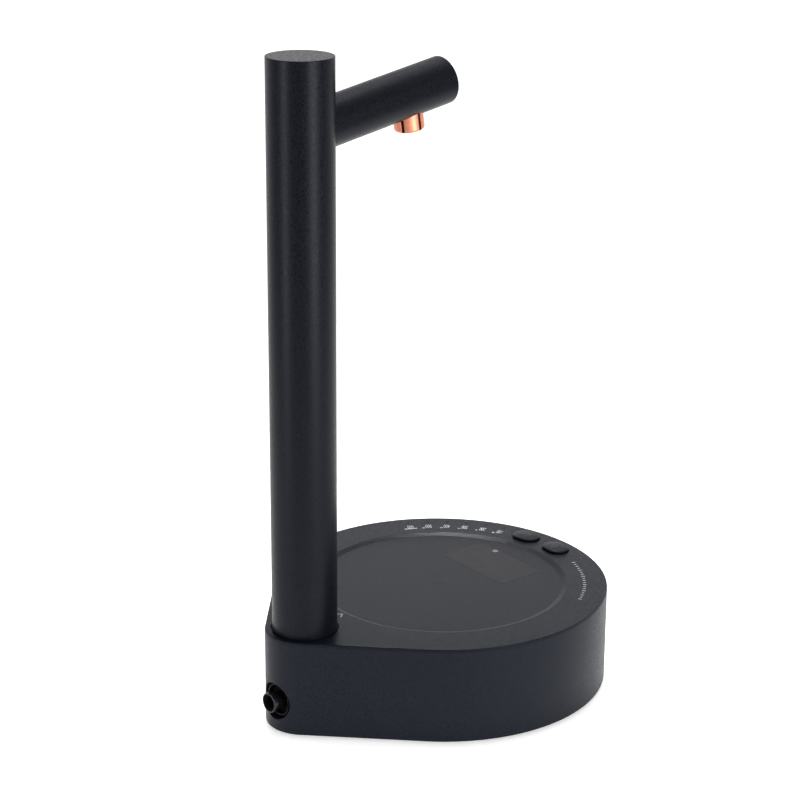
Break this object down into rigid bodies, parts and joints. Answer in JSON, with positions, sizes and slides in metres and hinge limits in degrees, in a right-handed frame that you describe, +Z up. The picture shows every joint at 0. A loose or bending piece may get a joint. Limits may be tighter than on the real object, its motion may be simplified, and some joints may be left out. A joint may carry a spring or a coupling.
{
  "type": "countertop water dispenser",
  "caption": "Desktop water dispenser: teardrop base with a cup tray, buttons and status lights, and a lift-off round column carrying a tilted spout with a copper-coloured nozzle.",
  "frame": {"origin": "middle of the whole footprint on the surface that the feet rest on", "axes": "+Z up; the user stands at -Y; the column and the water inlet are at +Y; +X is the user's right"},
  "size_m": [0.174, 0.2022, 0.3365],
  "materials": {
    "shell_paint": "satin",
    "cover_paint": "matte",
    "column_paint": "satin",
    "button_plastic": "satin",
    "black_plastic": "matte",
    "gloss_black": "gloss",
    "rose_gold": "polished",
    "rubber": "matte",
    "silicone": "translucent matte",
    "steel": "satin",
    "magnet": "matte",
    "bronze": "satin",
    "white_plastic": "matte",
    "circuit_board": "gloss",
    "led_clear": "gloss",
    "cell_wrap": "gloss",
    "clear_film": "gloss"
  },
  "bodies": {
    "base": {"base_shell": "shell_paint", "top_cover": "cover_paint", "bottom_cover": "cover_paint", "rubber_feet": "rubber", "case_screws": "steel", "tray_film": "clear_film", "tact_switches": "black_plastic", "key_board": "circuit_board", "key_board_screws": "steel", "status_leds": "led_clear", "light_guide": "led_clear", "battery_cell": "cell_wrap", "battery_holder": "black_plastic", "battery_contacts": "steel", "main_board": "circuit_board", "main_board_screws": "steel", "board_components": "black_plastic", "usb_socket": "steel", "motor_can": "steel", "motor_magnets": "magnet", "motor_end_cap": "black_plastic", "motor_bushes": "bronze", "pump_housing": "black_plastic", "pump_diaphragm": "rubber", "pump_valve_plate": "white_plastic", "pump_port_cover": "black_plastic", "pump_screws": "steel", "pump_cradle": "black_plastic", "pump_damper": "rubber", "pump_strap": "steel", "strap_screws": "steel", "inlet_collar": "black_plastic", "inlet_nipple": "gloss_black", "inlet_gasket": "rubber", "inlet_nut": "bronze", "inlet_hose": "silicone", "outlet_hose": "silicone", "hose_clips": "steel", "outlet_port": "white_plastic", "port_screws": "steel"},
    "button_power": {"power_button": "button_plastic", "power_plunger": "white_plastic"},
    "button_flow": {"flow_button": "button_plastic", "flow_plunger": "white_plastic"},
    "pump_rotor": {"motor_rotor": "steel", "pump_eccentric": "white_plastic"},
    "column": {"column_tube": "column_paint", "column_cap": "column_paint", "column_foot": "black_plastic", "foot_seal": "rubber", "riser_hose": "silicone", "riser_elbow": "black_plastic", "spout_coupling": "steel", "spout_tube": "column_paint", "spout_cap": "column_paint", "spout_hose": "silicone", "nozzle_elbow": "black_plastic", "nozzle": "rose_gold", "nozzle_insert": "rubber"}
  },
  "joints": [
    {"name": "power_press", "type": "slide", "parent": "base", "child": "button_power", "axis": [0, 0, -1], "range_m": [0, 0.0008], "stiffness_N_per_m": 1500},
    {"name": "flow_press", "type": "slide", "parent": "base", "child": "button_flow", "axis": [0, 0, -1], "range_m": [0, 0.0008], "stiffness_N_per_m": 1500},
    {"name": "pump_spin", "type": "hinge", "parent": "base", "child": "pump_rotor", "pos_m": [0, 0.0079, 0.0251], "axis": [0, 1, 0], "continuous": true},
    {"name": "column_lift", "type": "slide", "parent": "base", "child": "column", "axis": [0, 0, 1], "range_m": [0, 0.016]}
  ]
}
